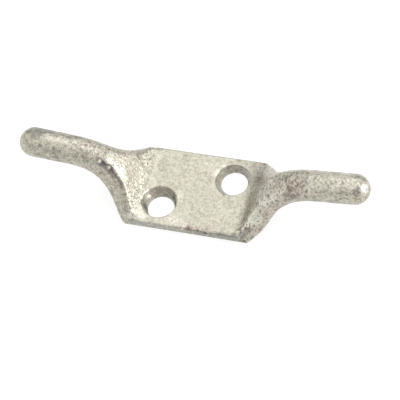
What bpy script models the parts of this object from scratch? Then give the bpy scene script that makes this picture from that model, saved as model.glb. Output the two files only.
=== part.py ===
"""Cleat horn: a hot-dip galvanised malleable-iron cleat for a wall, post or deck.

The whole cleat is one casting. A flat rectangular plate lies on the mounting
surface, and a horn springs from each end of it: the plate's end turns up,
narrows to a round neck and runs out nearly level. Two countersunk screw holes
go through the plate, set diagonally.

Frame: +X along the horns, +Z up from the mounting face, and the origin at the
centre of that face. Lengths are in metres. A side-view point is (x, z).
"""

import math

import bmesh
import bpy
import numpy as np

MM = 0.001

# --- Driving dimensions ---------------------------------------------------
OVERALL_LENGTH = 100.0 * MM  # from horn tip to horn tip

PLATE_LENGTH = 36.7 * MM  # of the flat face that lies on the surface
PLATE_WIDTH = 25.0 * MM
PLATE_THICKNESS = 3.0 * MM
EDGE_RADIUS = 0.6 * MM  # of the plate's edges, as cast and coated

HORN_DIAMETER = 8.4 * MM
HORN_AXIS_HEIGHT = 15.4 * MM  # above the mounting face, where the neck ends
HORN_PITCH = math.radians(7.7)  # the horn's slope where the neck ends
HORN_DROOP = math.radians(2.3)  # how much of that slope is gone at the tip

NECK_REACH = 15.45 * MM  # along X, from the plate's end to the round horn
NECK_TOE_INSET = 3.15 * MM  # how far inside the plate's end the top starts to rise
NECK_TOP_START = 1.5 * MM  # how long the top stays low before it climbs
NECK_TOP_END = 13.3 * MM  # how long the top takes to level out
NECK_UNDER_ANGLE = math.radians(49.0)  # at which the underside leaves the surface
NECK_UNDER_START = 4.5 * MM  # how far the underside keeps that angle
NECK_UNDER_END = 7.0 * MM  # how long the underside takes to level out

# The neck narrows as (1 - s^hold)^taper, where s goes from 0 at the start share to 1 at
# the horn. A larger hold keeps it wide for longer, a larger taper narrows it sooner.
LOWER_FLARE_START = 0.05
LOWER_FLARE_HOLD = 1.6
LOWER_FLARE_TAPER = 3.6
UPPER_FLARE_START = 0.085
UPPER_FLARE_HOLD = 1.9
UPPER_FLARE_TAPER = 5.7
LOWER_ROUNDING = 0.65  # powers: the larger, the later the neck's corners turn round
UPPER_ROUNDING = 0.27

SCREW_HOLE_DIAMETER = 7.6 * MM  # at the mounting face
COUNTERSINK_DIAMETER = 10.2 * MM  # at the plate's top face
COUNTERSINK_ANGLE = math.radians(50.0)  # between opposite walls, steep as they are cast
HOLE_TO_END = 8.95 * MM  # from a hole's centre to the nearer end of the plate
HOLE_TO_SIDE = 7.1 * MM  # from a hole's centre to the nearer side of the plate

# --- Fineness of the mesh -------------------------------------------------
CORNER_STEPS = 8  # along each quarter of a section's outline
NECK_STEPS = 20
HORN_STEPS = 3
TIP_STEPS = 7
HOLE_SEGMENTS = 48

CUTTER_OVERRUN = 1.0 * MM  # how far a hole's cutter passes below the mounting face
COUNTERSINK_OVERRUN = 0.3 * MM  # how far its cone goes on above the plate
MERGE_DISTANCE = 0.01 * MM
SHARP_ANGLE = math.radians(32.0)

ZINC_COLOUR = (0.56, 0.54, 0.47, 1.0)


def clear_scene():
    """Removes whatever the file opened with."""
    for obj in list(bpy.data.objects):
        bpy.data.objects.remove(obj, do_unlink=True)


def new_collection(name):
    collection = bpy.data.collections.new(name)
    bpy.context.scene.collection.children.link(collection)
    return collection


def galvanised_iron():
    """Dull, slightly warm zinc over cast iron."""
    material = bpy.data.materials.new("galvanised_iron")
    material.use_nodes = True
    shader = material.node_tree.nodes["Principled BSDF"]
    shader.inputs["Base Color"].default_value = ZINC_COLOUR
    shader.inputs["Metallic"].default_value = 0.8
    shader.inputs["Roughness"].default_value = 0.5
    return material


def direction(angle):
    """The side-view unit vector that rises from +X by the angle."""
    return np.array([math.cos(angle), math.sin(angle)])


def bezier(start, start_handle, end_handle, end, steps):
    """Points of a cubic Bezier curve, without its first, as rows of (x, z)."""
    t = np.linspace(0.0, 1.0, steps + 1)[1:, None]
    return (
        (1 - t) ** 3 * start
        + 3 * (1 - t) ** 2 * t * start_handle
        + 3 * (1 - t) * t**2 * end_handle
        + t**3 * end
    )


def section(under, top, low, high):
    """One closed cross-section of the casting, as rows of (x, y, z).

    It is a rectangle with rounded corners, standing on the side-view line from
    under to top. Low and high are each a half width and a corner radius, of its
    lower and its upper edge. Equal and full rounding makes it a circle.
    """
    half_height = np.linalg.norm(top - under) / 2
    upward = (top - under) / (2 * half_height)
    half_width = max(low[0], high[0])
    outline = []
    for quarter in range(4):
        side = 1 if quarter in (0, 3) else -1
        level = 1 if quarter in (0, 1) else -1
        edge = high if level == 1 else low
        radius = min(edge[1], edge[0], half_height)
        angles = (quarter + np.linspace(0, 1, CORNER_STEPS + 1)) * math.pi / 2
        across = side * (half_width - radius) + radius * np.cos(angles)
        along = level * (half_height - radius) + radius * np.sin(angles)
        outline.append(np.column_stack([across, along]))
    across, along = np.vstack(outline).T
    height_share = (along + half_height) / (2 * half_height)
    across *= (low[0] + (high[0] - low[0]) * height_share) / half_width
    x, z = ((under + top) / 2)[:, None] + upward[:, None] * along
    return np.column_stack([x, across, z])


def plate_sections():
    """Half the plate: from the middle of the cleat to where the neck starts."""
    half_length = PLATE_LENGTH / 2
    middle_under = np.array([0.0, 0.0])
    middle_top = np.array([0.0, PLATE_THICKNESS])
    heel = np.array([half_length, 0.0])
    toe = np.array([half_length - NECK_TOE_INSET, PLATE_THICKNESS])
    edge = (PLATE_WIDTH / 2, EDGE_RADIUS)
    return [section(middle_under, middle_top, edge, edge), section(heel, toe, edge, edge)]


def neck_edge(share, half_height, start, hold, taper, rounding):
    """Half width and corner radius of the neck's lower or upper edge.

    The share is 0 at the plate and 1 at the horn. The width follows the flare, and
    the corner grows with a power of the share until it is as round as it can be.
    """
    flare = (1 - max((share - start) / (1 - start), 0.0) ** hold) ** taper
    half_width = (HORN_DIAMETER + (PLATE_WIDTH - HORN_DIAMETER) * flare) / 2
    full_round = min(half_width, half_height)
    return half_width, EDGE_RADIUS + (full_round - EDGE_RADIUS) * share**rounding


def neck_sections():
    """The neck, which climbs from the plate's end and turns from flat to round."""
    horn_start = np.array([PLATE_LENGTH / 2 + NECK_REACH, HORN_AXIS_HEIGHT])
    outward = direction(HORN_PITCH)
    upward = direction(HORN_PITCH + math.pi / 2)
    heel = np.array([PLATE_LENGTH / 2, 0.0])
    toe = np.array([PLATE_LENGTH / 2 - NECK_TOE_INSET, PLATE_THICKNESS])
    top_end = horn_start + upward * HORN_DIAMETER / 2
    under_end = horn_start - upward * HORN_DIAMETER / 2
    top = bezier(
        toe,
        toe + direction(0.0) * NECK_TOP_START,
        top_end - outward * NECK_TOP_END,
        top_end,
        NECK_STEPS,
    )
    under = bezier(
        heel,
        heel + direction(NECK_UNDER_ANGLE) * NECK_UNDER_START,
        under_end - outward * NECK_UNDER_END,
        under_end,
        NECK_STEPS,
    )
    sections = []
    for step in range(NECK_STEPS):
        share = (step + 1) / NECK_STEPS
        half_height = np.linalg.norm(top[step] - under[step]) / 2
        low = neck_edge(
            share,
            half_height,
            LOWER_FLARE_START,
            LOWER_FLARE_HOLD,
            LOWER_FLARE_TAPER,
            LOWER_ROUNDING,
        )
        high = neck_edge(
            share,
            half_height,
            UPPER_FLARE_START,
            UPPER_FLARE_HOLD,
            UPPER_FLARE_TAPER,
            UPPER_ROUNDING,
        )
        sections.append(section(under[step], top[step], low, high))
    return sections


def round_section(centre, slope, radius):
    """A circle about a side-view point, square to a direction of that slope."""
    upward = direction(slope + math.pi / 2)
    edge = (radius, radius)
    return section(centre - upward * radius, centre + upward * radius, edge, edge)


def horn_sections():
    """The round horn, which droops a little, and its domed tip without the pole.

    Returns the sections and the pole.
    """
    start = np.array([PLATE_LENGTH / 2 + NECK_REACH, HORN_AXIS_HEIGHT])
    radius = HORN_DIAMETER / 2
    length = OVERALL_LENGTH / 2 - radius - start[0]
    sections = []
    for step in range(1, HORN_STEPS + 1):
        share = step / HORN_STEPS
        rise = math.tan(HORN_PITCH - HORN_DROOP * share / 2)
        slope = HORN_PITCH - HORN_DROOP * share
        dome_centre = start + length * share * np.array([1.0, rise])
        sections.append(round_section(dome_centre, slope, radius))
    outward = direction(slope)
    for step in range(1, TIP_STEPS):
        angle = step / TIP_STEPS * math.pi / 2
        centre = dome_centre + outward * radius * math.sin(angle)
        sections.append(round_section(centre, slope, radius * math.cos(angle)))
    pole = dome_centre + outward * radius
    return sections, np.array([pole[0], 0.0, pole[1]])


def half_casting():
    """A mesh lofted through the sections, open at the middle and closed at the tip."""
    horn, pole = horn_sections()
    sections = plate_sections() + neck_sections() + horn
    count = len(sections[0])
    vertices = np.vstack(sections + [pole])
    faces = []
    for ring in range(len(sections) - 1):
        near, far = ring * count, (ring + 1) * count
        for point in range(count):
            following = (point + 1) % count
            faces.append((near + point, near + following, far + following, far + point))
    last_ring = (len(sections) - 1) * count
    pole_index = len(vertices) - 1
    for point in range(count):
        faces.append((last_ring + point, last_ring + (point + 1) % count, pole_index))
    mesh = bpy.data.meshes.new("cleat_casting")
    mesh.from_pydata(vertices.tolist(), [], faces)
    shape = bmesh.new()
    shape.from_mesh(mesh)
    bmesh.ops.remove_doubles(shape, verts=shape.verts, dist=MERGE_DISTANCE)
    shape.to_mesh(mesh)
    shape.free()
    return mesh


def screw_hole_cutter(name, x, y, collection):
    """What a countersunk hole takes away: a turned shape that stands through the plate.

    Above the plate it goes straight up past the horns, so that nothing of the
    neck is left hanging over the hole.
    """
    hole_radius = SCREW_HOLE_DIAMETER / 2
    rim_radius = COUNTERSINK_DIAMETER / 2
    spread = math.tan(COUNTERSINK_ANGLE / 2)
    seat_depth = (rim_radius - hole_radius) / spread
    wide_radius = rim_radius + COUNTERSINK_OVERRUN * spread
    top = HORN_AXIS_HEIGHT + HORN_DIAMETER
    profile = [
        (0.0, 0.0, top),
        (wide_radius, 0.0, top),
        (wide_radius, 0.0, PLATE_THICKNESS + COUNTERSINK_OVERRUN),
        (hole_radius, 0.0, PLATE_THICKNESS - seat_depth),
        (hole_radius, 0.0, -CUTTER_OVERRUN),
        (0.0, 0.0, -CUTTER_OVERRUN),
    ]
    mesh = bpy.data.meshes.new(name)
    mesh.from_pydata(profile, [(i, i + 1) for i in range(len(profile) - 1)], [])
    cutter = bpy.data.objects.new(name, mesh)
    cutter.location = (x, y, 0.0)
    cutter.display_type = "WIRE"
    cutter.hide_render = True
    collection.objects.link(cutter)
    turn = cutter.modifiers.new("turn", "SCREW")
    turn.steps = HOLE_SEGMENTS
    turn.render_steps = HOLE_SEGMENTS
    turn.use_merge_vertices = True
    turn.merge_threshold = MERGE_DISTANCE
    return cutter


def cut(obj, cutter):
    modifier = obj.modifiers.new(cutter.name, "BOOLEAN")
    modifier.operation = "DIFFERENCE"
    modifier.solver = "EXACT"
    modifier.object = cutter


def bake_modifiers(obj):
    """Replaces the mesh with what its modifiers make of it, shaded smooth."""
    evaluated = obj.evaluated_get(bpy.context.evaluated_depsgraph_get())
    mesh = bpy.data.meshes.new_from_object(evaluated)
    obj.modifiers.clear()
    obj.data = mesh
    mesh.shade_smooth()
    mesh.set_sharp_from_angle(angle=SHARP_ANGLE)


def build():
    clear_scene()
    parts = new_collection("cleat_horn")
    cutters = new_collection("cutters")

    casting = bpy.data.objects.new("cleat_casting", half_casting())
    casting.data.materials.append(galvanised_iron())
    parts.objects.link(casting)
    mirror = casting.modifiers.new("other_end", "MIRROR")
    mirror.use_axis = (True, False, False)
    mirror.use_mirror_merge = True
    mirror.merge_threshold = MERGE_DISTANCE

    hole_x = PLATE_LENGTH / 2 - HOLE_TO_END
    hole_y = PLATE_WIDTH / 2 - HOLE_TO_SIDE
    cut(casting, screw_hole_cutter("hole_at_far_side", hole_x, hole_y, cutters))
    cut(casting, screw_hole_cutter("hole_at_near_side", -hole_x, -hole_y, cutters))
    bake_modifiers(casting)


build()
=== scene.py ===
"""Looks for the cleat horn: one hot-dip galvanised casting on a pale studio floor.

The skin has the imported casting's form, worked out finely enough to carry what casting and
dipping leave on it: rolled rims round the screw holes, waves and peel in the zinc, pits,
beads and drips, and rust where the coat is thin.

Frame: +X along the horns, +Z up from the mounting face, origin at the middle of that face.
Shapes are worked out in millimetres, and become metres when their mesh is made.
"""

import math

import bpy
import numpy as np
from mathutils import Matrix, Vector


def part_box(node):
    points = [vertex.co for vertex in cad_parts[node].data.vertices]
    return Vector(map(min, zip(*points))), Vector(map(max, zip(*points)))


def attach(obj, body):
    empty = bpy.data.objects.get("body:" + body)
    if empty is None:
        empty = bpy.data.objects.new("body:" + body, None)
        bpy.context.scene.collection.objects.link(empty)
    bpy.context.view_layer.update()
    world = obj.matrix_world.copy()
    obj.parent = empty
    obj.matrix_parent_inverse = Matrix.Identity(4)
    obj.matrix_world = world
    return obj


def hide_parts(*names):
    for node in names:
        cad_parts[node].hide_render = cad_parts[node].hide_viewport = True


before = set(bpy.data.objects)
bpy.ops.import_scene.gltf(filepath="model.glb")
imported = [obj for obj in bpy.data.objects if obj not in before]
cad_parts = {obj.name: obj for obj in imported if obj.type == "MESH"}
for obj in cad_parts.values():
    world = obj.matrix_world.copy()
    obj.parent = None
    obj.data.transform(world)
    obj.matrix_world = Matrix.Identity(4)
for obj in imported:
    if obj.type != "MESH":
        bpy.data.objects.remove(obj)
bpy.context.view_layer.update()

MM = 0.001

# --- The casting's own dimensions, in millimetres ----------------------------
LOW, HIGH = (np.array(corner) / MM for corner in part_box("cleat_casting"))
HALF_LENGTH = (HIGH[0] - LOW[0]) / 2
HALF_WIDTH = (HIGH[1] - LOW[1]) / 2

HEEL = np.array([18.35, 0.0])  # (x, z) where the plate's underside leaves the surface
TOE = np.array([15.2, 3.0])  # (x, z) where the plate's top starts to rise
EDGE_RADIUS = 0.6  # of the plate's long edges
HORN_START = np.array([33.8, 15.4])  # (x, z) on the horn's axis
HORN_RADIUS = 4.2
HORN_PITCH = math.radians(7.7)  # how steeply the horn starts
HORN_DROOP = math.radians(2.3)  # and how much of that it loses by its tip
NECK_UNDER_ANGLE = math.radians(49.0)  # at which the neck's under rail leaves the heel
# How far the neck's top and under rails keep the direction of their start and their end.
NECK_TOP_START = 1.5
NECK_TOP_END = 13.3
NECK_UNDER_START = 4.5
NECK_UNDER_END = 7.0
# Start share, hold and taper of the width of the neck's lower and upper edges.
LOWER_FLARE = (0.05, 1.6, 3.6)
UPPER_FLARE = (0.085, 1.9, 5.7)
# The power of the share along the neck by which each edge gets round.
LOWER_ROUNDING = 0.65
UPPER_ROUNDING = 0.27

SINK_CENTRES = ((9.15, 5.25), (-9.75, -5.25))  # of each countersink's rim
BORE_CENTRES = ((9.2, 5.6), (-9.6, -5.75))  # the cores stood a little off square
HOLE_RADIUS = 3.8
SINK_RADIUS = 5.1
SINK_TAPER = math.radians(25.0)  # of the countersink's wall, off the hole's axis
RIM_ROLL = 0.35  # radius with which the zinc rolls over each hole's rim
SEAT_ROLL = 0.3  # from the taper on to the bore
FOOT_ROLL = 0.1  # and out of the bore at the mounting face
NECK_WEAR = 9  # how many times the necks' outlines are averaged
# Reach of the bend where the top starts to rise: on the left, and on the right's near side.
TOE_SOFTNESS = (2.6, 1.5)

# --- What casting, dipping and use have left on it ---------------------------
# A crease runs down the near side of the left neck: a cubic Bezier's four points, the groove's
# widths at its upper and lower end, those of the painted shade round it, and its depth.
CREASE = ((-26.4, -2.5, 16.4), (-23.5, -2.9, 14.5), (-18.7, -4.2, 9.9), (-17.8, -9.6, 5.7))
CREASE_WIDTHS = (0.8, 0.45)
SHADE_WIDTHS = (1.15, 0.85)
CREASE_DEPTH = 0.38
# Where the zinc ran down thick and raised, with a painted highlight streak along it: the line's
# four points, the widths of its upper and lower end, and strength.
RUNS_AND_HIGHLIGHTS = (
    (
        ((-24.0, -0.8, 16.0), (-20.8, -1.6, 12.8), (-18.4, -4.2, 9.2), (-17.4, -7.4, 5.5)),
        (1.3, 1.6),
        0.8,
    ),
    (
        ((27.5, -3.2, 16.0), (23.5, -4.4, 13.0), (19.5, -6.0, 9.3), (17.6, -9.3, 5.8)),
        (1.2, 1.6),
        0.55,
    ),
)
# The near half of the plate's ends is out of square: a shift along -X for each mm of -Y,
# at the right end and at the left.
SKEW = (0.06, 0.035)
# The plate's near right corner is worn away a little: its place, how far, and reach.
WORN_CORNER = ((18.9, -12.7, 0.6), 0.25, 1.5)
# Two beads of zinc in the crease, each with a painted highlight: (x, y, z), radius, and height
# along the normal.
BEADS = (
    ((-25.65, -2.65, 15.9), 0.35, 0.4),
    ((-23.3, -3.05, 13.95), 0.36, 0.5),
)
# Other lumps and dents: the same.
LUMPS = (
    ((24.8, -5.0, 9.0), 2.4, -0.4),  # the right neck is hollow on its near side
    ((21.7, 5.8, 10.2), 2.0, -0.5),  # and on its far side
    ((17.4, 11.0, 4.5), 1.3, 0.35),  # a thick place at the far end of the toe
    ((21.4, -9.4, 3.9), 2.6, 0.4),  # the mould's swell at the right neck's near corner
    ((16.0, -9.2, 3.8), 0.5, -0.35),  # shrinkage pits by the near right corner
    ((15.1, -9.9, 3.0), 0.45, -0.35),
    ((16.4, -10.6, 4.0), 0.45, 0.35),
    ((15.8, -11.3, 3.5), 0.4, -0.3),
    ((17.1, -10.6, 4.7), 0.4, -0.3),
    ((15.2, -9.2, 3.2), 0.4, 0.25),
    ((14.5, -10.9, 3.0), 0.4, 0.2),
    ((17.3, -12.4, 1.6), 0.6, 0.25),  # a drop that froze at that corner
    ((-13.1, -3.9, 1.2), 0.8, 0.5),  # a burr in the near hole
    ((-13.8, -5.0, 2.6), 0.8, 0.3),
    ((-9.7, -11.9, 2.7), 0.4, 0.15),  # a run over the near edge
)
# Where the zinc is bright and clean, and where highlights are painted on: (x, y, z), radius and
# strength.
CLEAN_AND_HIGHLIGHTS = (
    # left horn: a painted highlight along its top
    ((-47.6, 1.4, 20.2), 1.1, 0.35),
    ((-46.6, -3.2, 18.3), 1.6, 0.2),
    ((-40.8, -0.2, 20.4), 1.2, 0.45),
    ((-38.6, -0.1, 20.1), 1.3, 0.6),
    ((-35.8, 0.0, 19.8), 1.3, 0.6),
    ((-33.2, 0.0, 19.3), 1.3, 0.55),
    ((-30.4, -0.1, 18.6), 1.3, 0.45),
    ((-27.6, -0.3, 17.7), 1.2, 0.4),
    # left neck: a painted highlight streak beside the crease, and lighter zinc lower down
    ((-25.5, -3.9, 14.3), 2.0, 0.3),
    ((-21.0, -2.2, 12.2), 1.5, 0.5),
    ((-20.2, -1.2, 11.0), 1.7, 0.35),
    ((-19.3, -2.6, 9.8), 1.5, 0.4),
    ((-18.5, -3.6, 8.3), 1.4, 0.35),
    ((-17.6, -11.6, 3.4), 1.0, 0.35),
    ((-17.0, -4.5, 6.0), 1.8, 0.35),
    ((-17.0, -6.6, 5.6), 1.6, 0.6),
    ((-16.5, -1.0, 5.2), 1.8, 0.15),
    ((-16.2, -8.0, 4.3), 1.3, 0.3),
    ((-16.2, -11.4, 3.6), 1.3, 0.6),
    # plate
    ((-14.5, -7.5, 3.3), 2.0, 0.3),
    ((-14.5, -10.6, 3.3), 2.0, 0.45),
    ((-12.3, -11.0, 3.0), 1.6, 0.5),
    ((-5.5, -9.8, 3.0), 3.0, 0.5),
    ((-5.3, -1.5, 3.0), 2.0, 0.4),
    ((-4.2, -3.8, 3.0), 1.8, 0.35),
    ((-2.5, 7.8, 3.0), 3.4, 0.3),
    ((-1.5, -11.0, 3.0), 2.2, 0.4),
    ((1.5, 9.5, 3.0), 2.5, 0.3),
    # a painted highlight arc on the far hole's rim
    ((3.8, 6.0, 3.0), 0.8, 0.7),
    ((4.2, 7.6, 3.0), 0.8, 0.8),
    ((5.5, 9.4, 3.0), 0.8, 0.7),
    ((14.5, -10.9, 3.0), 0.5, 0.8),
    ((15.2, -9.2, 3.2), 0.45, 0.9),
    # near hole
    ((-14.9, -4.9, 2.8), 0.6, 0.7),
    ((-14.7, -5.6, 2.6), 1.2, 0.3),
    ((-14.6, -3.4, 2.8), 0.6, 0.7),
    ((-14.3, -4.2, 1.9), 0.5, 0.6),
    ((-14.2, -2.4, 2.8), 0.6, 0.6),
    ((-13.6, -3.0, 2.8), 1.0, 0.5),
    ((-13.4, -4.2, 1.4), 1.3, 0.4),
    # far hole
    ((5.2, 7.9, 1.8), 1.1, 0.5),
    # right neck
    ((15.8, 9.8, 3.8), 2.2, 0.45),
    ((16.0, -1.0, 4.0), 2.0, 0.25),
    ((16.2, 7.0, 4.2), 2.2, 0.4),
    ((16.2, 3.0, 4.2), 2.2, 0.35),
    ((16.4, -10.6, 4.0), 0.5, 1.0),
    ((17.3, -9.4, 5.2), 0.8, 0.8),
    ((18.3, -6.0, 6.8), 1.6, 0.5),
    ((18.6, -8.0, 6.0), 1.4, 0.5),
    ((18.8, -9.3, 5.7), 2.4, 0.5),
    ((20.2, -3.4, 9.9), 3.0, 0.55),
    ((20.5, 2.3, 11.0), 2.5, 0.4),
    ((20.8, -8.0, 7.0), 1.8, 0.4),
    ((23.0, -1.0, 13.0), 2.8, 0.5),
    ((27.2, -2.6, 16.6), 1.3, 0.35),
    # right horn: painted highlights along its top and middle, brightest at the tip
    ((33.0, 2.8, 18.4), 2.2, 0.4),
    ((33.5, -3.4, 17.9), 1.8, 0.35),
    ((34.5, -1.5, 19.4), 2.2, 0.22),
    ((36.8, -3.2, 18.5), 1.8, 0.35),
    ((37.5, -1.6, 19.7), 2.0, 0.15),
    ((38.5, 2.8, 19.2), 2.4, 0.45),
    ((39.4, -0.4, 20.3), 2.0, 0.15),
    ((40.5, -3.1, 19.0), 1.8, 0.35),
    ((41.8, -1.0, 20.4), 2.0, 0.3),
    ((43.5, 2.6, 19.8), 2.2, 0.45),
    ((45.0, -0.9, 20.8), 1.8, 0.55),
    ((48.8, -1.0, 19.4), 1.5, 0.9),
)
# Where it is tinted pink: the same.
PINK = (
    # left horn
    ((-27.8, -3.7, 14.2), 1.3, 0.8),
    # left neck
    ((-24.5, -4.6, 11.5), 1.3, 0.7),
    ((-18.6, -9.0, 5.5), 1.3, 0.6),
    ((-18.2, 1.3, 7.8), 2.2, 0.3),
    # plate
    ((-6.5, -10.8, 3.0), 1.6, 0.5),
    ((0.5, -11.2, 3.0), 1.5, 0.7),
    ((2.5, 7.5, 3.0), 1.4, 0.4),
    ((4.5, -0.5, 3.0), 2.2, 0.35),
    ((6.5, -10.6, 3.0), 1.8, 0.6),
    ((14.9, 10.9, 3.0), 1.6, 0.7),
    # near hole
    ((-14.3, -4.4, 2.2), 1.3, 0.6),
    ((-12.9, -2.6, 2.1), 1.6, 0.8),
    ((-10.5, -1.0, 2.3), 1.4, 0.4),
    # far hole
    ((8.0, 9.7, 1.9), 1.8, 0.7),
    # right neck
    ((21.5, -9.6, 3.5), 2.2, 0.7),
    ((24.0, -6.5, 7.5), 2.6, 0.8),
    # right horn
    ((34.5, 3.2, 18.2), 2.2, 0.6),
    ((39.5, 3.2, 19.0), 2.2, 0.6),
    ((42.8, -0.8, 20.7), 1.0, 0.7),
    ((44.5, 3.0, 19.6), 2.2, 0.6),
    ((49.3, -2.6, 18.5), 1.0, 0.8),
    ((49.3, 1.5, 19.3), 1.0, 0.7),
)
# Where the coat is thin and rust shows through: (x, y, z), radius and strength.
RUST = (
    # plate
    ((0.6, -12.2, 2.9), 1.1, 1.4),
    ((3.2, -12.2, 2.9), 1.0, 1.4),
    ((6.0, -12.2, 2.9), 1.1, 1.3),
    # right neck
    ((25.6, -4.6, 11.9), 2.0, 0.7),
    # right horn
    ((29.4, -3.9, 15.9), 1.2, 0.5),
    ((30.4, -2.6, 17.8), 2.7, 1.3),
    ((31.6, -1.8, 18.6), 1.1, 0.5),
)
# Dark, dull blotches, and painted shade along the horns' edges and in the holes: (x, y, z),
# radius and strength.
BLOTCHES_AND_SHADE = (
    # left horn: dark blotches, and painted shade along its near side and far top edge
    ((-46.6, 2.3, 19.8), 1.4, 0.4),
    ((-46.0, 0.9, 20.8), 0.8, 0.35),
    ((-45.0, -0.6, 20.9), 0.9, 0.35),
    ((-44.8, 0.0, 20.7), 1.8, 0.35),
    ((-44.5, -3.3, 18.5), 2.2, 0.25),
    ((-44.0, 2.4, 19.8), 1.8, 0.6),
    ((-42.8, 0.5, 20.5), 1.4, 0.3),
    ((-42.0, -4.1, 15.8), 2.5, 0.25),
    ((-41.0, 2.6, 19.5), 1.8, 0.6),
    ((-41.0, -3.2, 18.9), 2.0, 0.2),
    ((-38.5, -4.0, 16.5), 2.0, 0.25),
    ((-38.0, 2.6, 19.1), 1.8, 0.5),
    ((-37.2, -3.0, 18.9), 2.0, 0.2),
    ((-36.5, -4.1, 15.2), 2.5, 0.25),
    ((-35.0, 2.4, 18.8), 1.8, 0.5),
    ((-33.8, -2.6, 18.7), 2.0, 0.25),
    ((-32.0, 2.2, 18.4), 1.8, 0.4),
    ((-31.0, -4.3, 13.8), 2.5, 0.2),
    ((-29.6, -2.0, 18.2), 2.0, 0.25),
    # left neck
    ((-26.1, 0.3, 16.9), 1.8, 0.25),
    ((-25.4, -4.5, 12.8), 0.7, 0.6),
    ((-23.6, 1.9, 14.8), 2.0, 0.22),
    ((-18.0, 4.5, 7.0), 2.6, 0.2),
    ((-17.9, -9.3, 5.9), 0.9, 0.3),
    ((-16.8, 3.7, 5.3), 3.0, 0.25),
    # plate
    ((-14.3, -1.5, 3.6), 1.8, 0.3),
    ((-13.5, 8.5, 3.2), 3.4, 0.1),
    ((-12.5, 4.0, 3.0), 4.0, 0.2),
    ((-6.0, 10.0, 3.0), 3.0, 0.12),
    ((9.4, 11.9, 3.0), 0.7, 0.5),
    ((10.5, -11.6, 3.0), 1.6, 0.35),
    ((11.6, 11.2, 3.0), 0.9, 0.5),
    ((13.8, -11.6, 3.0), 0.8, 0.6),
    ((15.1, -9.9, 3.0), 0.5, 0.8),
    # near hole: painted shade on its walls
    ((-14.3, -5.5, 2.9), 1.4, 0.3),
    ((-13.9, -6.8, 1.9), 1.0, 0.7),
    ((-13.6, -5.2, 1.5), 1.0, 0.45),
    ((-5.4, -4.6, 1.3), 1.0, 0.6),
    # far hole: painted shade on its wall
    ((13.3, 6.2, 1.5), 1.4, 0.7),
    # right neck
    ((15.8, -11.3, 3.5), 0.5, 0.8),
    ((17.1, -10.6, 4.7), 0.5, 0.8),
    ((27.4, -0.8, 17.6), 0.7, 0.35),
    ((27.7, 0.4, 17.8), 1.0, 0.45),
    # right horn: dark blotches, and painted shade along its lower near side
    ((29.3, -4.1, 15.3), 1.8, 0.6),
    ((32.9, -0.6, 19.5), 0.8, 0.7),
    ((33.0, -4.2, 14.3), 2.2, 0.35),
    ((36.5, -4.1, 15.2), 2.2, 0.35),
    ((40.6, -2.1, 19.9), 2.4, 0.2),
    ((41.5, -4.1, 15.7), 2.2, 0.35),
    ((47.3, -2.5, 19.8), 1.2, 0.8),
    ((47.8, 1.9, 19.9), 0.8, 0.5),
)
# Near-black painted shade in the left neck's crease and in the holes, and a few spots of grime
# on the plate: the same.
SHADE_AND_GRIME = (
    # left neck: painted shade in the crease
    ((-25.0, -3.0, 15.3), 0.8, 0.5),
    ((-23.4, -3.3, 13.7), 1.0, 0.35),
    ((-23.1, -2.9, 13.8), 0.9, 0.5),
    ((-22.4, -3.8, 12.6), 0.9, 0.15),
    ((-19.6, -5.4, 9.2), 0.9, 0.25),
    ((-18.7, -6.9, 7.6), 0.9, 0.2),
    # plate
    ((5.75, -12.5, 2.2), 0.55, 1.6),
    ((13.0, -12.4, 2.7), 0.5, 0.4),
    ((17.4, -12.4, 1.5), 0.65, 1.3),
    # near hole: painted shade on its walls
    ((-13.7, -6.7, 1.6), 1.3, 0.45),
    ((-13.2, -7.0, 0.8), 1.1, 0.45),
    ((-12.8, -8.2, 1.2), 1.1, 0.45),
    ((-6.4, -2.2, 1.4), 1.1, 0.9),
    ((-5.3, -4.2, 1.3), 1.2, 0.9),
    # far hole: painted shade in its bore
    ((9.0, 9.6, 0.8), 0.7, 0.35),
    ((10.8, 9.2, 0.7), 0.7, 0.4),
    ((12.2, 8.2, 0.7), 0.7, 0.45),
    ((13.5, 5.8, 1.4), 1.2, 0.7),
)
# How much smoother than the necks the plate's faces and the horns are, and a soft spot at
# the left neck's root: (x, y, z), radius and share.
PLATE_SMOOTHNESS = 0.7
HORN_SMOOTHNESS = 0.3
ROOT_SMOOTHNESS = ((-17.0, 0.0, 6.0), 5.0, 0.4)
# Waves, bumps and grain in the zinc: size, height where it is smoothest, the height that
# roughness adds, and the seed.
WAVES = ((9.0, 0.0, 0.10, 3), (2.6, 0.0, 0.045, 5), (0.75, 0.005, 0.027, 7))
GRAIN_HEIGHT = 0.2  # of the finest grain, which is the material's bump
RUN_HEIGHT = 0.10
PIT_COUNT = 500
PIT_DEPTHS = (0.03, 0.12)
PIT_RADII = (0.16, 0.5)
# Darker along the plate's near upper edge: (y, z) of the line, its reach in y and z, where
# along X it starts and is full, and where it starts to end and ends.
NEAR_EDGE_DARKENING = ((-12.3, 2.8), (0.6, 0.5), (-4.0, -1.0), (14.5, 16.5))
# Where a hole's wall is nearly as pale as the plate: (x, y, z) and radius.
PALE_WALLS = (((-13.6, -4.0, 1.4), 1.7), ((9.0, 9.5, 2.0), 3.5))

# --- The zinc's colours ------------------------------------------------------
SMOOTH_ZINC = (0.58, 0.565, 0.455, 1)
ROUGH_ZINC = (0.485, 0.46, 0.375, 1)
# the colour of the side faces' painted shade
FLANK_SHADE_ZINC = (0.32, 0.32, 0.28, 1)
OLIVE_ZINC = (0.27, 0.265, 0.20, 1)
PINK_ZINC = (0.51, 0.41, 0.37, 1)
PALE_ZINC = (0.66, 0.64, 0.56, 1)
# bright zinc, and the colour of the painted highlights
BRIGHT_ZINC_AND_HIGHLIGHT = (0.74, 0.715, 0.63, 1)
SPECK_GREY = (0.155, 0.143, 0.113, 1)
# the hole walls' brown, and their painted shade
WALL_BROWN_AND_SHADE = (0.30, 0.26, 0.185, 1)
# stains, and painted shade
STAIN_AND_SHADE_GREY = (0.17, 0.165, 0.15, 1)
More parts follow.
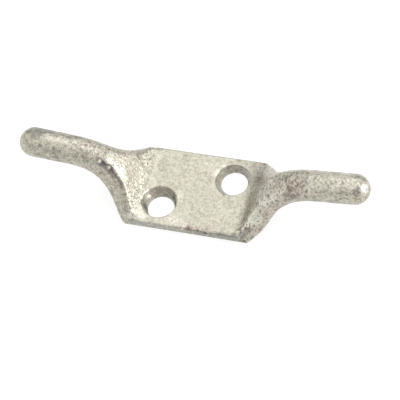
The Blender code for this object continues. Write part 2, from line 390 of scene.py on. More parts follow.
# near-black painted shade, and grime
SHADE_AND_GRIME_BLACK = (0.11, 0.10, 0.095, 1)
DARK_RUST = (0.13, 0.075, 0.055, 1)
PALE_RUST = (0.66, 0.54, 0.47, 1)

# --- The studio --------------------------------------------------------------
FLOOR_HALF_SIDE = 3.0  # metres
FLOOR_GAP = 2e-5  # metres, so that the floor and the mounting face don't flicker
LAMP_DISTANCE = 0.7  # metres
LAMP_AIM_HEIGHT = 0.008  # metres above the floor
# Softboxes: name, direction, size in metres and watts.
LAMPS = (
    ("top", (0.1, 0.05, 1.0), (0.6, 0.6), 0.95),
    ("back_top", (0.15, 0.6, 0.78), (0.9, 0.6), 1.6),
    ("right_top", (0.65, 0.3, 0.7), (0.6, 0.5), 0.35),
    ("right_mid", (0.95, 0.15, 0.28), (0.4, 0.35), 2.5),
    ("left_top", (-0.66, 0.2, 0.7), (0.5, 0.5), 0.56),
    ("left_low", (-0.95, -0.25, 0.2), (0.5, 0.3), 0.36),
    ("front_top", (-0.3, -0.57, 0.77), (0.5, 0.5), 0.55),
    ("front_right", (0.6, -0.6, 0.5), (0.4, 0.4), 0.36),
    ("front_low", (-0.3, -0.95, 0.15), (0.5, 0.25), 0.1),
)
CAMERA_ANGLES = (28.955, 57.844, -16.297)  # yaw, elevation and roll, in degrees
CAMERA_AIM = (0.496, -0.791, -0.586)  # millimetres
CAMERA_DISTANCE = 369.212  # millimetres from there
CAMERA_LENS = 117.0

# --- Fineness of the skin ----------------------------------------------------
PLATE_RINGS = 50  # from the middle of the plate to one end
NECK_RINGS = 80
HORN_RINGS = 45
DOME_RINGS = 20
COLUMNS = 49  # round a quarter of each section
FLAT_PITCH = 0.35  # between columns along the plate's faces
SIDE_PITCH = 0.30  # and up its sides
CORNER_COLUMNS = 12.0  # round each of the plate's edges
BLOCK = 37  # rings and columns that each hole's patch takes from the skin
# Where the blocks of the far and the near hole start: the ring in the top face and in the
# bottom face, counted from the plate's middle, and the column.
BLOCK_STARTS = ((12, 8, -3), (-50, -45, -34))
# Loops of points in each hole, both ends counted: from the block's edge to the hole, on the
# rim's roll, down the taper, and on each of the two smaller rolls.
JOIN_LOOPS = 6
RIM_LOOPS = 8
TAPER_LOOPS = 14
ROLL_LOOPS = 4


# --- Shape -------------------------------------------------------------------
def ramp(value, none, full):
    """0 at the first limit, 1 at the second, even between them and level beyond them."""
    return np.clip((value - none) / (full - none), 0.0, 1.0)


def bell(value, middle, reach):
    """exp(-(d/r)^2) at distance d from the middle, where r is the reach."""
    return np.exp(-(((value - middle) / reach) ** 2))


def direction(angle):
    """The side-view unit vector (x, z) that rises from +X by the angle."""
    return np.array([math.cos(angle), math.sin(angle)])


def bezier(share, start, start_handle, end_handle, end):
    """Cubic Bezier: the points weighted by (1-s)^3, 3(1-s)^2 s, 3(1-s)s^2 and s^3."""
    s = share[:, None]
    return (
        (1 - s) ** 3 * start
        + 3 * (1 - s) ** 2 * s * start_handle
        + 3 * (1 - s) * s**2 * end_handle
        + s**3 * end
    )


def neck_edge(share, half_height, flare, rounding):
    """Half width and corner radius of the neck's lower or upper edge, at each share.

    With s from 0 at the flare's start share to 1 at the horn, the width goes down from
    the plate's to the horn's as (1 - s^hold)^taper. The corner grows from the plate's
    edge radius to full rounding as a power of the share.
    """
    start, hold, taper = flare
    s = ramp(share, start, 1.0)
    width = HORN_RADIUS + (HALF_WIDTH - HORN_RADIUS) * (1 - s**hold) ** taper
    full_round = np.minimum(width, half_height)
    return width, EDGE_RADIUS + (full_round - EDGE_RADIUS) * share**rounding


def stations():
    """The sections from the plate's middle to the last ring of one tip.

    Returns under and top (x, z), then half width and corner radius of the lower edge, and
    the same of the upper edge, a row for each ring; and the tip's pole. Plate: both rails
    run straight to heel and toe. Neck: two Bezier rails, with neck_edge's widths and
    corners. Horn: the radius square to a line whose slope falls evenly. Tip: a hemisphere.
    """
    g = np.linspace(0.0, 1.0, PLATE_RINGS + 1)[:, None]
    wide, sharp = np.full(len(g), HALF_WIDTH), np.full(len(g), EDGE_RADIUS)
    top = g * (TOE - [0.0, TOE[1]]) + [0.0, TOE[1]]
    plate = (g * HEEL, top, wide, sharp, wide, sharp)

    s = np.linspace(0.0, 1.0, NECK_RINGS + 1)[1:]
    outward = direction(HORN_PITCH)
    upward = direction(HORN_PITCH + math.pi / 2)
    top_end = HORN_START + upward * HORN_RADIUS
    under_end = HORN_START - upward * HORN_RADIUS
    top = bezier(
        s, TOE, TOE + [NECK_TOP_START, 0.0], top_end - outward * NECK_TOP_END, top_end
    )
    under = bezier(
        s,
        HEEL,
        HEEL + direction(NECK_UNDER_ANGLE) * NECK_UNDER_START,
        under_end - outward * NECK_UNDER_END,
        under_end,
    )
    half_height = np.linalg.norm(top - under, axis=1) / 2
    low = neck_edge(s, half_height, LOWER_FLARE, LOWER_ROUNDING)
    high = neck_edge(s, half_height, UPPER_FLARE, UPPER_ROUNDING)
    neck = (under, top, *low, *high)

    length = HALF_LENGTH - HORN_RADIUS - HORN_START[0]
    s = np.linspace(0.0, 1.0, HORN_RINGS + 1)[1:]
    rise = np.tan(HORN_PITCH - HORN_DROOP * s / 2)
    centre = HORN_START + length * s[:, None] * np.column_stack([np.ones(len(s)), rise])
    slope = HORN_PITCH - HORN_DROOP * s
    a = np.linspace(0.0, math.pi / 2, DOME_RINGS + 1)[1:-1]
    dome_slope = slope[-1]
    dome = centre[-1] + np.sin(a)[:, None] * HORN_RADIUS * direction(dome_slope)
    pole = centre[-1] + direction(dome_slope) * HORN_RADIUS
    centre = np.vstack([centre, dome])
    slope = np.concatenate([slope, np.full(len(a), dome_slope)])
    radius = HORN_RADIUS * np.concatenate([np.ones(len(s)), np.cos(a)])
    square = np.column_stack([-np.sin(slope), np.cos(slope)]) * radius[:, None]
    horn = (centre - square, centre + square, radius, radius, radius, radius)

    rows = [np.concatenate(part) for part in zip(plate, neck, horn)]
    return rows, np.array([pole[0], 0.0, pole[1]])


def quarter_outline(half_width, half_height, corner):
    """A quarter of a rounded rectangle, from its middle line to mid-height, for each ring.

    Columns are shared out over the flat, the corner's arc and the side by their lengths,
    so the plate gets one every 0.35 mm and the round horn has them evenly spaced.
    """
    w, h, c = half_width, half_height, corner
    flat_share = (w - c) / FLAT_PITCH
    corner_share = CORNER_COLUMNS + (c - EDGE_RADIUS) * math.pi / 2 / FLAT_PITCH
    side_share = (h - c) / SIDE_PITCH
    m = np.linspace(0.0, 1.0, COLUMNS + 1) * (flat_share + corner_share + side_share)
    on_flat = np.clip(m / np.maximum(flat_share, 1e-9), 0, 1)
    on_corner = np.clip((m - flat_share) / corner_share, 0, 1)
    past = m - flat_share - corner_share
    on_side = np.clip(past / np.maximum(side_share, 1e-9), 0, 1)
    across = (w - c) * on_flat + c * np.sin(on_corner * math.pi / 2)
    along = (h - c) * (1 - on_side) + c * np.cos(on_corner * math.pi / 2)
    return across, along


def outlines(under, top, low_width, low_corner, high_width, high_corner):
    """Every section's outline at once: a grid of (ring, column, xyz).

    Each is a rectangle with rounded corners, standing on the line from under to top. It
    is made as wide as the wider of its two edges, and then narrowed with height so that
    each edge gets its own width.
    """
    height = np.linalg.norm(top - under, axis=1) / 2
    wide = np.maximum(low_width, high_width)
    w, h = wide[:, None], height[:, None]
    low = quarter_outline(w, h, np.minimum(low_corner, height)[:, None])
    high = quarter_outline(w, h, np.minimum(high_corner, height)[:, None])
    across = np.hstack(
        [high[0][:, :-1], low[0][:, :0:-1], -low[0][:, :-1], -high[0][:, :0:-1]]
    )
    along = np.hstack(
        [high[1][:, :-1], -low[1][:, :0:-1], -low[1][:, :-1], high[1][:, :0:-1]]
    )
    share = (along + h) / (2 * h)
    across *= (low_width[:, None] * (1 - share) + high_width[:, None] * share) / w
    middle = (under + top) / 2
    upward = (top - under) / (2 * h)
    x = middle[:, :1] + upward[:, :1] * along
    z = middle[:, 1:] + upward[:, 1:] * along
    return np.stack([x, across, z], axis=2)


def softened(grid):
    """The grid with its necks' edges worn round, as the casting's are.

    Every outline of a neck is blended with a running mean of itself, taken several times
    over five columns. The share of the mean goes up from 0 at the plate's end to 1 and back
    to 0 at the round horn, and is less on the lower edges, so the plate and the heel keep
    their edges and the horn its radius.
    """
    mean = grid
    for _ in range(NECK_WEAR):
        mean = sum(np.roll(mean, turn, axis=1) for turn in range(-2, 3)) / 5
    s = ramp(np.arange(len(grid)), PLATE_RINGS, PLATE_RINGS + NECK_RINGS)
    share = ramp(s, 0.08, 0.28) * ramp(s, 0.95, 0.60)
    turn = np.arange(grid.shape[1]) / grid.shape[1] * 2 * math.pi
    upper = np.clip(0.7 + 0.8 * np.cos(turn), 0.25, 1)
    return grid + (mean - grid) * (share[:, None] * upper)[:, :, None]


def square_path(first_ring, first_column, last_column):
    """Grid places (ring, column) once round a block, counter-clockwise seen from +Z.

    It goes out along X, then along +Y, back along X, and back along Y. Columns may run
    either way with Y, so both ends are given.
    """
    n = np.arange(BLOCK)
    step = 1 if last_column > first_column else -1
    last_ring = first_ring + BLOCK
    rings = [first_ring + n, np.full(BLOCK, last_ring), last_ring - n]
    rings.append(np.full(BLOCK, first_ring))
    columns = [np.full(BLOCK, first_column), first_column + step * n]
    columns += [np.full(BLOCK, last_column), last_column - step * n]
    return np.concatenate(rings), np.concatenate(columns)


def hole_profile():
    """Radius and height down a countersunk hole's wall, from the top face to the bottom.

    A first arc rolls from the face on to the taper, a second one from the taper on to the
    bore, and a small one ends the bore at the bottom face.
    """
    steep = math.pi / 2 - SINK_TAPER  # how far the wall dips below the face
    turn = np.linspace(0.0, steep, RIM_LOOPS)
    pull = math.tan(steep / 2)
    rim_r = SINK_RADIUS + RIM_ROLL * pull - RIM_ROLL * np.sin(turn)
    rim_z = TOE[1] - RIM_ROLL * (1 - np.cos(turn))
    bend_z = TOE[1] - (SINK_RADIUS - HOLE_RADIUS) / math.tan(SINK_TAPER)
    turn = np.linspace(SINK_TAPER, 0.0, ROLL_LOOPS)
    pull = math.tan(SINK_TAPER / 2)
    seat_r = HOLE_RADIUS + SEAT_ROLL * (1 - np.cos(turn))
    seat_z = bend_z - SEAT_ROLL * pull + SEAT_ROLL * np.sin(turn)
    share = np.linspace(0.0, 1.0, TAPER_LOOPS)[1:-1]
    taper_r = rim_r[-1] + (seat_r[0] - rim_r[-1]) * share
    taper_z = rim_z[-1] + (seat_z[0] - rim_z[-1]) * share
    turn = np.linspace(0.0, math.pi / 2, ROLL_LOOPS)[1:]
    foot_r = HOLE_RADIUS + FOOT_ROLL * (1 - np.cos(turn))
    foot_z = FOOT_ROLL * (1 - np.sin(turn))
    radius = np.concatenate([rim_r, taper_r, seat_r, foot_r])
    height = np.concatenate([rim_z, taper_z, seat_z, foot_z])
    return radius, height


def hole_patch(sink_centre, bore_centre, top_loop, bottom_loop):
    """Loops of points that carry the skin from a square path on the top face through a
    countersunk hole to a square path on the bottom face.

    Loop l is centre_l + r_l (cos t, sin t) at height z_l. The centre goes from the
    countersink's to the bore's as the radius shrinks, and t goes evenly from the top
    path's own angles to the bottom path's. Blended loops join circle and square.
    """
    ends = []
    for loop, centre in ((top_loop, sink_centre), (bottom_loop, bore_centre)):
        arm = loop[:, :2] - centre
        ends.append(np.unwrap(np.arctan2(arm[:, 1], arm[:, 0])))
    radius, height = hole_profile()
    share = np.linspace(0.0, 1.0, len(radius))[:, None]
    angle = (1 - share) * ends[0] + share * ends[1]
    loops = np.empty(angle.shape + (3,))
    seated = np.maximum.accumulate(ramp(radius, SINK_RADIUS, HOLE_RADIUS))[:, None]
    centre = sink_centre + (bore_centre - sink_centre) * seated
    loops[..., 0] = centre[:, :1] + radius[:, None] * np.cos(angle)
    loops[..., 1] = centre[:, 1:] + radius[:, None] * np.sin(angle)
    loops[..., 2] = height[:, None]
    joined = np.linspace(0.0, 1.0, JOIN_LOOPS)[1:-1, None, None]
    above = top_loop + (loops[0] - top_loop) * joined
    below = loops[-1] + (bottom_loop - loops[-1]) * joined
    return np.concatenate([above, loops, below])


def skin():
    """Points (mm), four-cornered faces and the tips' three-cornered ones, before roughness.

    The sections of one half and their mirror image in X make one tube with a pole at each
    tip. A block of cells over and under each screw hole gives way to a patch that shares
    the block's edge points, so the skin closes with no seam.
    """
    rows, pole = stations()
    half = softened(outlines(*rows))
    other = half[:0:-1] * [-1.0, 1.0, 1.0]
    grid = np.concatenate([other, half])
    rings, around = grid.shape[:2]
    flat = grid.reshape(-1, 3)
    middle = len(half) - 1
    underneath = around // 2  # the column in the middle of the bottom face
    index = np.arange(rings * around).reshape(rings, around)
    keep = np.ones((rings - 1, around), bool)
    points = [flat, pole[None] * [-1, 1, 1], pole[None]]
    faces = []
    total = rings * around + 2

    for starts, *centres in zip(BLOCK_STARTS, SINK_CENTRES, BORE_CENTRES):
        top_ring, low_ring = middle + starts[0], middle + starts[1]
        first, last = starts[2], starts[2] + BLOCK
        ring, column = square_path(top_ring, first, last)
        top_ids = index[ring, column % around]
        ring, column = square_path(low_ring, underneath - first, underneath - last)
        bottom_ids = index[ring, column]
        keep[top_ring : top_ring + BLOCK, np.arange(first, last) % around] = False
        keep[low_ring : low_ring + BLOCK, underneath - last : underneath - first] = False
        loops = hole_patch(*np.array(centres), flat[top_ids], flat[bottom_ids])
        count = loops.shape[0] * loops.shape[1]
        ids = np.arange(total, total + count).reshape(loops.shape[:2])
        ids = np.vstack([top_ids, ids, bottom_ids])
        ahead = np.roll(ids, -1, axis=1)
        faces.append(np.stack([ids[:-1], ahead[:-1], ahead[1:], ids[1:]], axis=2))
        points.append(loops.reshape(-1, 3))
        total += count

    ahead = np.roll(index, -1, axis=1)
    cells = np.stack([index[:-1], index[1:], ahead[1:], ahead[:-1]], axis=2)
    faces.insert(0, cells[keep])
    quads = np.concatenate([f.reshape(-1, 4) for f in faces])
    first_pole, last_pole = rings * around, rings * around + 1
    caps = np.concatenate(
        [
            np.stack([ahead[0], np.full(around, first_pole), index[0]], axis=1),
            np.stack([index[-1], np.full(around, last_pole), ahead[-1]], axis=1),
        ]
    )
    return np.concatenate(points), quads, caps


def surface_normals(points, quads, caps):
    """Unit normals at the points: each face's own normal, by area, summed at its corners."""
    total = np.zeros_like(points)
    for face in (quads, caps):
        a = points[face[:, 2 % face.shape[1]]] - points[face[:, 0]]
        b = points[face[:, -1]] - points[face[:, 1]]
        normal = np.cross(a, b)
        for corner in face.T:
            for axis in range(3):
                total[:, axis] += np.bincount(corner, normal[:, axis], len(points))
    return total / np.maximum(np.linalg.norm(total, axis=1), 1e-12)[:, None]


def lattice_noise(points, size, seed):
    """Smooth noise from -1 to 1: a random value at each point of a cubic lattice of that
    size, and between them an eased (3f^2 - 2f^3) blend of the eight nearest. The lattice
    repeats after so many steps."""
    repeat, offset = 64, 1000.5
    values = np.random.default_rng(seed).uniform(-1.0, 1.0, (repeat, repeat, repeat))
    place = points / size + offset
    cell = np.floor(place).astype(int)
    f = place - cell
    f = f * f * (3 - 2 * f)
    result = np.zeros(len(points))
    for step in np.ndindex(2, 2, 2):
        weight = np.prod(np.where(step, f, 1 - f), axis=1)
        result += weight * values[tuple(((cell + step) % repeat).T)]
    return result


def make_mesh(name, points, quads, caps, marks):
    """A mesh object at the origin from points in millimetres, with its marks as attributes."""
    mesh = bpy.data.meshes.new(name)
    corners = np.concatenate([quads.ravel(), caps.ravel()]).astype(np.int32)
    sizes = np.concatenate([np.full(len(quads), 4), np.full(len(caps), 3)])
    starts = np.concatenate([[0], np.cumsum(sizes)[:-1]]).astype(np.int32)
    mesh.vertices.add(len(points))
    mesh.vertices.foreach_set("co", (points * MM).astype(np.float32).ravel())
    mesh.loops.add(len(corners))
    mesh.loops.foreach_set("vertex_index", corners)
    mesh.polygons.add(len(sizes))
    mesh.polygons.foreach_set("loop_start", starts)
    mesh.update(calc_edges=True)
    for mark_name, values in marks.items():
        layer = mesh.attributes.new(mark_name, "FLOAT", "POINT")
        layer.data.foreach_set("value", values.astype(np.float32))
    mesh.validate()
    mesh.shade_smooth()
    obj = bpy.data.objects.new(name, mesh)
    bpy.context.scene.collection.objects.link(obj)
    return obj


def toe_fillet(x, y):
    """How much higher the top lies than its rail, which runs softly over the toe.

    The height is a Gaussian mean of the rail's own heights along X. Its reach is the first
    TOE_SOFTNESS on the left side. On the right it goes from the second, at the near side,
    towards the first at the far side.
    """
    step, window = 0.05, 4.0
    rows, _ = stations()
    rail = rows[1]
    level = np.arange(0.0, HORN_START[0], step)
    height = np.interp(level, rail[:, 0], rail[:, 1])
    away = np.arange(-window, window + step, step)
    at_toe = ramp(level, TOE[0] + 4.5, TOE[0] + 2.5)
    raised = []
    for softness in TOE_SOFTNESS:
        weight = bell(away, 0.0, softness)
        padded = np.pad(height, len(away) // 2, "edge")
        mean = np.convolve(padded, weight / weight.sum(), "valid")
        raised.append(np.interp(np.abs(x), level, (mean - height) * at_toe))
    soft, crisp = raised
    return np.where(x < 0, soft, crisp + (soft - crisp) * ramp(y, 0.0, 8.0))


def spot(points, centre, radius):
    """How much each point is in a soft spot: exp(-(d/r)^2) at distance d from its centre."""
    away = points - np.array(centre)
    return np.exp(-np.einsum("ij,ij->i", away, away) / radius**2)


def spots(points, rows):
    """The sum of soft spots, each row a centre, a radius and a strength."""
    return sum(strength * spot(points, centre, r) for centre, r, strength in rows)


def along_line(points, handles, widths):
    """1 on a Bezier line and 0 off it, weaker towards its lower end.

    Each point takes its distance d to the nearest of 60 places along the line. The share
    is exp(-(d/w)^2), where w goes from the upper end's width to the lower end's, and is
    up to 0.15 mm more or less from place to place.
    """
    upper, lower = widths
    t = np.linspace(0.0, 1.0, 60)
    line = bezier(t, *(np.array(point) for point in handles))
    width = lower + (upper - lower) * (1 - t) ** 2 + 0.15 * lattice_noise(line, 1.7, 23)
    share = np.zeros(len(points))
    for place, reach, along in zip(line, width, t):
        fade = min(1.0, 0.4 + 6 * along, 3 * (1 - along)) * (1 - 0.55 * along)
        share = np.maximum(share, fade * spot(points, place, reach))
    return share


def pits(points, wild):
    """Depth of the small round pits: spots at points picked at random, more of them where
    the casting is rough."""
    rng = np.random.default_rng(11)
    chance = wild**2 / np.sum(wild**2)
    depth = np.zeros(len(points))
    for centre in points[rng.choice(len(points), PIT_COUNT, p=chance)]:
        depth += rng.uniform(*PIT_DEPTHS) * spot(points, centre, rng.uniform(*PIT_RADII))
    return depth


def hole_walls_and_shade(points):
    """How much each point belongs to a screw hole's wall, and how dark that wall is painted
    there.

    It counts as wall within the countersink's rim. Its painted shade is darkest 1.3 mm up, and
    it is palest 0.4 mm up, a painted reflection of the light that comes back from the floor. It
    is also pale where PALE_WALLS says.
    """
    x, y, z = points.T
    wall_and_shade = np.zeros(len(points))
    for sink_x, sink_y in SINK_CENTRES:
        out = np.hypot(x - sink_x, y - sink_y)
        wall_and_shade += ramp(out, SINK_RADIUS + 0.2, SINK_RADIUS - 0.3)
    for centre, radius in PALE_WALLS:
        wall_and_shade *= 1 - 0.8 * spot(points, centre, radius)
    # painted shade by height: darkest 1.3 mm up, and palest 0.4 mm up as a painted reflection
    # of the floor's light
    depth = 0.5 + 0.5 * bell(z, 1.3, 0.6) - 0.5 * bell(z, 0.4, 0.3)
    return np.clip(wall_and_shade, 0, 1) * depth * (z < TOE[1] + 0.2)


def near_edge_darkening(points):
    """Darker along the plate's near upper edge: a bell across it, patchy along it."""
    x, y, z = points.T
    (line_y, line_z), (reach_y, reach_z), start, end = NEAR_EDGE_DARKENING
    edge = bell(y, line_y, reach_y) * bell(z, line_z, reach_z)
    patchy = 0.6 + 0.4 * lattice_noise(points, 1.5, 17)
    return 0.45 * edge * ramp(x, *start) * ramp(x, *end[::-1]) * patchy


def rough_casting():
    """The casting's skin with its roughness, and where rust, dirt, bare walls, painted shade
    and painted highlights lie.

    Points move along their normals by waves, bumps and grain of lattice noise, pits, the
    crease and the lumps. The plate's faces are smoother than the necks and horns, and the
    mounting face stays flat. Last come the plate's skewed ends and the toe's soft bend.
    """
    points, quads, caps = skin()
    normals = surface_normals(points, quads, caps)
    x, y, z = points.T
    out = np.abs(x)
    on_plate = ramp(out, TOE[0] + 1, TOE[0] - 1) * ramp(z, 3.6, 3.1)
    wild = 1 - PLATE_SMOOTHNESS * on_plate - HORN_SMOOTHNESS * ramp(out, 30.0, 36.0)
    wild -= spots(points, [ROOT_SMOOTHNESS])
    crease = along_line(points, CREASE, CREASE_WIDTHS)
    shade = along_line(points, CREASE, SHADE_WIDTHS)
    # the runs raise the skin, and outside the shade they carry a painted highlight
    run_and_highlight = sum(strength * along_line(points, *line) for *line, strength in RUNS_AND_HIGHLIGHTS)
    hollow = pits(points, wild)

    lift = RUN_HEIGHT * run_and_highlight - hollow - CREASE_DEPTH * crease
    for size, smooth, rough, seed in WAVES:
        lift += (smooth + rough * wild) * lattice_noise(points, size, seed)
    lift += spots(points, BEADS + LUMPS)
    lift *= ramp(z, 0.0, 0.6)  # 0 on the mounting face

    # Beads get a painted highlight and are kept out of the crease's painted shade, and pits are
    # darker.
    shade += spots(points, SHADE_AND_GRIME)
    bead_highlight = sum(spot(points, centre, 1.4 * radius) for centre, radius, _ in BEADS)
    # painted shade: the side faces, where the normal points along Y, are darker, and their
    # right half more so
    flank_shade = ramp(np.abs(normals[:, 1]), 0.4, 0.8) * ramp(out, 19.0, 17.0)
    # dark blotches and the darker near edge, with painted shade on the horns' edges and in the
    # holes
    dirt_and_shade = spots(points, BLOTCHES_AND_SHADE) + near_edge_darkening(points)
    dirt_and_shade += 0.3 * flank_shade * ramp(x, -2.0, 2.0)
    marks = {
        "wild": wild,
        "pink": np.clip(spots(points, PINK), 0, 1),
        "rust": np.clip(spots(points, RUST), 0, 1),
        "dirt_and_shade": np.clip(dirt_and_shade + 5.0 * hollow, 0, 1),
        "crease": np.clip(np.minimum(shade, 0.95) - bead_highlight, 0, 1),
        # bright clean zinc and painted highlights: the listed spots, the runs' streaks outside
        # the shade, and the beads
        "clean_and_highlight": np.clip(spots(points, CLEAN_AND_HIGHLIGHTS) + run_and_highlight * (1 - shade) + bead_highlight, 0, 1),
        "flank_shade": flank_shade,
        "wall_and_shade": hole_walls_and_shade(points),
    }

    moved = points + normals * lift[:, None]
    corner, worn, reach = WORN_CORNER
    moved[:, 0] -= worn * spot(points, corner, reach)
    low_end = ramp(out, 14.0, 18.0) * bell(z, 0.0, 5.0)
    moved[:, 0] += np.where(x > 0, *SKEW) * np.minimum(y, 0.0) * low_end
    # The bend is only in the top, and fades out by the plate's long edges.
    upper = ramp(np.abs(y), HALF_WIDTH - 0.4, HALF_WIDTH - 1.7) * ramp(normals[:, 2], 0.1, 0.35)
    moved[:, 2] += toe_fillet(x, y) * upper
    return moved, quads, caps, marks


# --- Finish ------------------------------------------------------------------
def feed(tree, socket, source):
    """Links an output to the socket, or sets the socket to a plain value."""
    if isinstance(source, bpy.types.NodeSocket):
        tree.links.new(source, socket)
    else:
        socket.default_value = source


def calculate(tree, operation, first, second):
    """The result of one of Blender's sums on two values."""
    made = tree.nodes.new("ShaderNodeMath")
    made.operation = operation
    feed(tree, made.inputs[0], first)
    feed(tree, made.inputs[1], second)
    return made.outputs["Value"]


def times(tree, first, second):
    """The product of two values."""
    return calculate(tree, "MULTIPLY", first, second)


def plus(tree, first, second):
    """The sum of two values."""
    return calculate(tree, "ADD", first, second)


def minus(tree, first, second):
    """The first value less the second."""
    return calculate(tree, "SUBTRACT", first, second)


def cloudy(tree, place, size, detail, seed):
    """Noise from 0 to 1 with its largest lumps about size mm across, and finer ones in them
    as detail says."""
    made = tree.nodes.new("ShaderNodeTexNoise")
    made.noise_dimensions = "4D"
    feed(tree, made.inputs["Vector"], place)
    feed(tree, made.inputs["W"], seed)
    feed(tree, made.inputs["Scale"], 1.0 / size)
    feed(tree, made.inputs["Detail"], detail)
    feed(tree, made.inputs["Roughness"], 0.62)
    return made.outputs["Fac"]


def swing(tree, place, size, detail, seed, strength):
    """The same noise, evenly above and below 0, and that many times as strong."""
    return times(tree, minus(tree, cloudy(tree, place, size, detail, seed), 0.5), strength)


def rise(tree, value, low, high):
    """0 below low, 1 above high, and an eased climb between them."""
    made = tree.nodes.new("ShaderNodeMapRange")
    made.interpolation_type = "SMOOTHSTEP"
    feed(tree, made.inputs["Value"], value)
    feed(tree, made.inputs["From Min"], low)
    feed(tree, made.inputs["From Max"], high)
    return made.outputs["Result"]


def blend(tree, share, first, second):
    """The first colour at share 0, the second at share 1, and a mix between."""
    made = tree.nodes.new("ShaderNodeMix")
    made.data_type = "RGBA"
    feed(tree, made.inputs["Factor"], share)
    feed(tree, made.inputs["A"], first)
    feed(tree, made.inputs["B"], second)
    return made.outputs["Result"]


def mark(tree, name):
    """The share of one of the skin's marks, from 0 to 1."""
    made = tree.nodes.new("ShaderNodeAttribute")
    made.attribute_name = name
    return made.outputs["Fac"]


def zinc_coat(tree, place, wild):
    """The coat's colour: smooth to rough zinc, darker on the side faces as painted shade, with
    olive, pink, pale and bright places and dark specks, each from its own noise; the bright
    places are partly painted highlights. Specks get stronger towards +X."""
    olive = rise(tree, cloudy(tree, place, 0.9, 4.0, 1.0), 0.42, 0.62)
    pink = rise(tree, cloudy(tree, place, 2.6, 3.0, 2.0), 0.50, 0.70)
    pink = times(tree, pink, times(tree, wild, 0.95))
    pink = calculate(tree, "MAXIMUM", pink, times(tree, mark(tree, "pink"), 0.8))
    pale = rise(tree, cloudy(tree, place, 0.55, 3.0, 3.0), 0.48, 0.62)
    clean_and_highlight = mark(tree, "clean_and_highlight")
    bright_and_highlight = plus(tree, clean_and_highlight, times(tree, cloudy(tree, place, 0.6, 3.0, 8.0), 2.0))
    bright_and_highlight = times(tree, rise(tree, bright_and_highlight, 1.15, 1.9), rise(tree, clean_and_highlight, 0.0, 0.3))
    along = tree.nodes.new("ShaderNodeSeparateXYZ")
    tree.links.new(place, along.inputs["Vector"])
    thickness = times(tree, rise(tree, along.outputs["X"], -50.0, 50.0), 0.24)
    specks = rise(tree, cloudy(tree, place, 0.6, 3.0, 4.0), 0.51, 0.60)
    specks = times(tree, times(tree, specks, wild), plus(tree, thickness, 0.66))

    colour = blend(tree, wild, SMOOTH_ZINC, ROUGH_ZINC)
    # painted shade on the side faces
    colour = blend(tree, mark(tree, "flank_shade"), colour, FLANK_SHADE_ZINC)
    olive_coat = blend(tree, 0.6, colour, OLIVE_ZINC)
    colour = blend(tree, times(tree, olive, 0.85), colour, olive_coat)
    colour = blend(tree, pink, colour, PINK_ZINC)
    colour = blend(tree, times(tree, pale, 0.6), colour, PALE_ZINC)
    # bright clean zinc and painted highlights
    colour = blend(tree, bright_and_highlight, colour, BRIGHT_ZINC_AND_HIGHLIGHT)
    return blend(tree, specks, colour, SPECK_GREY)


def shade_and_grime_share(tree, patchy):
    """How much near-black painted shade, with some grime, lies in the crease and the corners,
    in patches.
    """
    crease = mark(tree, "crease")
    shade_and_grime = rise(tree, plus(tree, crease, times(tree, patchy, 0.5)), 0.1, 1.0)
    return times(tree, times(tree, shade_and_grime, 0.95), rise(tree, crease, 0.0, 0.4))


def rust_share(tree, place):
    """How much rust bleeds through, in flakes."""
    rust = mark(tree, "rust")
    bleed = rise(tree, plus(tree, rust, swing(tree, place, 0.5, 3.0, 11.0, 5.0)), 0.45, 1.4)
    return times(tree, bleed, rise(tree, rust, 0.02, 0.3))


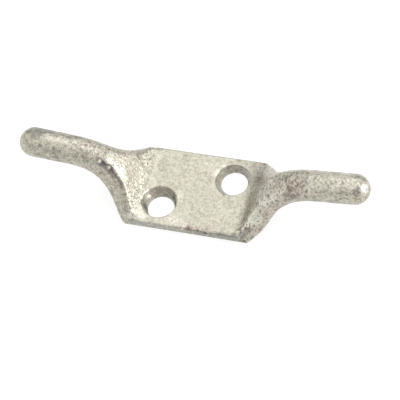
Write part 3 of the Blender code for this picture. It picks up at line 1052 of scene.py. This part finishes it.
def galvanised_zinc():
    """Dull zinc: a warm pale coat with painted highlights, and over it brown hole walls,
    stains, painted shade on the sides and in the holes, near-black painted shade with some
    grime, and rust.

    Every layer is a colour blended in by a share. The shares come from the skin's marks
    and from noise in object coordinates, taken in millimetres. Rust and the near-black painted
    shade with its grime are rougher than the coat, and rust is less metallic.
    """
    material = bpy.data.materials.new("galvanised_zinc")
    material.use_nodes = True
    tree = material.node_tree
    shader = tree.nodes["Principled BSDF"]
    scale = tree.nodes.new("ShaderNodeVectorMath")
    scale.operation = "SCALE"
    tree.links.new(tree.nodes.new("ShaderNodeTexCoord").outputs["Object"], scale.inputs[0])
    scale.inputs["Scale"].default_value = 1 / MM
    place = scale.outputs[0]
    wild = mark(tree, "wild")
    patchy = swing(tree, place, 0.9, 4.0, 5.0, 2.2)
    shade_and_grime = shade_and_grime_share(tree, patchy)
    bleed = rust_share(tree, place)

    colour = zinc_coat(tree, place, wild)
    # brown hole walls, with painted shade that is darkest partway down
    wall_and_shade = rise(tree, cloudy(tree, place, 1.0, 4.0, 9.0), 0.3, 0.68)
    wall_and_shade = times(tree, mark(tree, "wall_and_shade"), times(tree, wall_and_shade, 0.48))
    colour = blend(tree, wall_and_shade, colour, WALL_BROWN_AND_SHADE)
    # stains, dirt and darker pits, with painted shade on the side faces, on the horns' edges
    # and in the holes
    dirt_and_shade = mark(tree, "dirt_and_shade")
    stain_and_shade = times(tree, rise(tree, plus(tree, dirt_and_shade, patchy), 0.1, 0.8), 0.8)
    colour = blend(tree, times(tree, stain_and_shade, rise(tree, dirt_and_shade, 0.02, 0.25)), colour, STAIN_AND_SHADE_GREY)
    # near-black painted shade in the crease and the holes, with some grime
    colour = blend(tree, shade_and_grime, colour, SHADE_AND_GRIME_BLACK)
    mottle = rise(tree, cloudy(tree, place, 0.8, 3.0, 12.0), 0.46, 0.60)
    rusty = blend(tree, mottle, DARK_RUST, PALE_RUST)
    colour = blend(tree, times(tree, bleed, 0.95), colour, rusty)
    feed(tree, shader.inputs["Base Color"], colour)
    feed(tree, shader.inputs["Metallic"], minus(tree, 0.7, times(tree, bleed, 0.6)))

    rough = plus(tree, times(tree, cloudy(tree, place, 1.6, 4.0, 6.0), 0.30), 0.26)
    rough = minus(tree, rough, times(tree, wild, 0.14))
    rough = plus(tree, rough, times(tree, bleed, 0.3))
    rough = plus(tree, rough, times(tree, shade_and_grime, 0.25))
    feed(tree, shader.inputs["Roughness"], rough)

    grain = tree.nodes.new("ShaderNodeBump")
    feed(tree, grain.inputs["Strength"], wild)
    feed(tree, grain.inputs["Distance"], GRAIN_HEIGHT * MM)
    feed(tree, grain.inputs["Height"], cloudy(tree, place, 0.6, 4.0, 7.0))
    feed(tree, shader.inputs["Normal"], grain.outputs["Normal"])
    return material


def studio_floor():
    """A plain pale board just under the cleat, which glows enough to stay white."""
    mesh = bpy.data.meshes.new("studio_floor")
    s, z = FLOOR_HALF_SIDE, -FLOOR_GAP
    mesh.from_pydata([(-s, -s, z), (s, -s, z), (s, s, z), (-s, s, z)], [], [(0, 1, 2, 3)])
    floor = bpy.data.objects.new("studio_floor", mesh)
    bpy.context.scene.collection.objects.link(floor)
    material = bpy.data.materials.new("studio_white")
    material.use_nodes = True
    shader = material.node_tree.nodes["Principled BSDF"]
    shader.inputs["Base Color"].default_value = (0.3, 0.3, 0.3, 1.0)
    shader.inputs["Roughness"].default_value = 0.9
    shader.inputs["Emission Color"].default_value = (1.0, 1.0, 1.0, 1.0)
    shader.inputs["Emission Strength"].default_value = 0.75
    mesh.materials.append(material)


def softbox(name, towards, size, power):
    """A white area light in that direction, which faces the cleat. Sizes are in metres."""
    light = bpy.data.lights.new(name, "AREA")
    light.shape = "RECTANGLE"
    light.size, light.size_y = size
    light.energy = power
    lamp = bpy.data.objects.new(name, light)
    place = Vector(towards).normalized() * LAMP_DISTANCE
    lamp.location = place + Vector((0, 0, LAMP_AIM_HEIGHT))
    lamp.rotation_euler = place.to_track_quat("Z", "Y").to_euler()
    bpy.context.scene.collection.objects.link(lamp)


def studio_lights():
    """An even white surround, and the softboxes."""
    world = bpy.data.worlds.new("studio_air")
    world.use_nodes = True
    air = world.node_tree.nodes["Background"]
    air.inputs["Color"].default_value = (1, 1, 1, 1)
    air.inputs["Strength"].default_value = 0.6
    bpy.context.scene.world = world
    for lamp in LAMPS:
        softbox(*lamp)


def camera():
    """Looks down at the cleat from the front, a little from the right, and tilted."""
    yaw, elevation, roll = (math.radians(angle) for angle in CAMERA_ANGLES)
    back = Vector(
        (
            math.sin(yaw) * math.cos(elevation),
            -math.cos(yaw) * math.cos(elevation),
            math.sin(elevation),
        )
    )
    level = Vector((math.cos(yaw), math.sin(yaw), 0.0))
    upright = back.cross(level)
    right = math.cos(roll) * level + math.sin(roll) * upright
    up = math.cos(roll) * upright - math.sin(roll) * level
    turn = Matrix((right, up, back)).transposed().to_4x4()
    data = bpy.data.cameras.new("camera")
    data.sensor_width = 36.0
    data.lens = CAMERA_LENS
    data.clip_start = 0.01
    data.clip_end = 20.0
    eye = bpy.data.objects.new("camera", data)
    place = (Vector(CAMERA_AIM) + back * CAMERA_DISTANCE) * MM
    eye.matrix_world = Matrix.Translation(place) @ turn
    bpy.context.scene.collection.objects.link(eye)
    bpy.context.scene.camera = eye


def build():
    """The dressed casting, the floor, the lights and the camera."""
    bpy.context.scene.view_settings.view_transform = "Standard"
    casting = make_mesh("cleat_casting_skin", *rough_casting())
    casting.data.materials.append(galvanised_zinc())
    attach(casting, "root")
    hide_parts("cleat_casting")
    studio_floor()
    studio_lights()
    camera()


build()
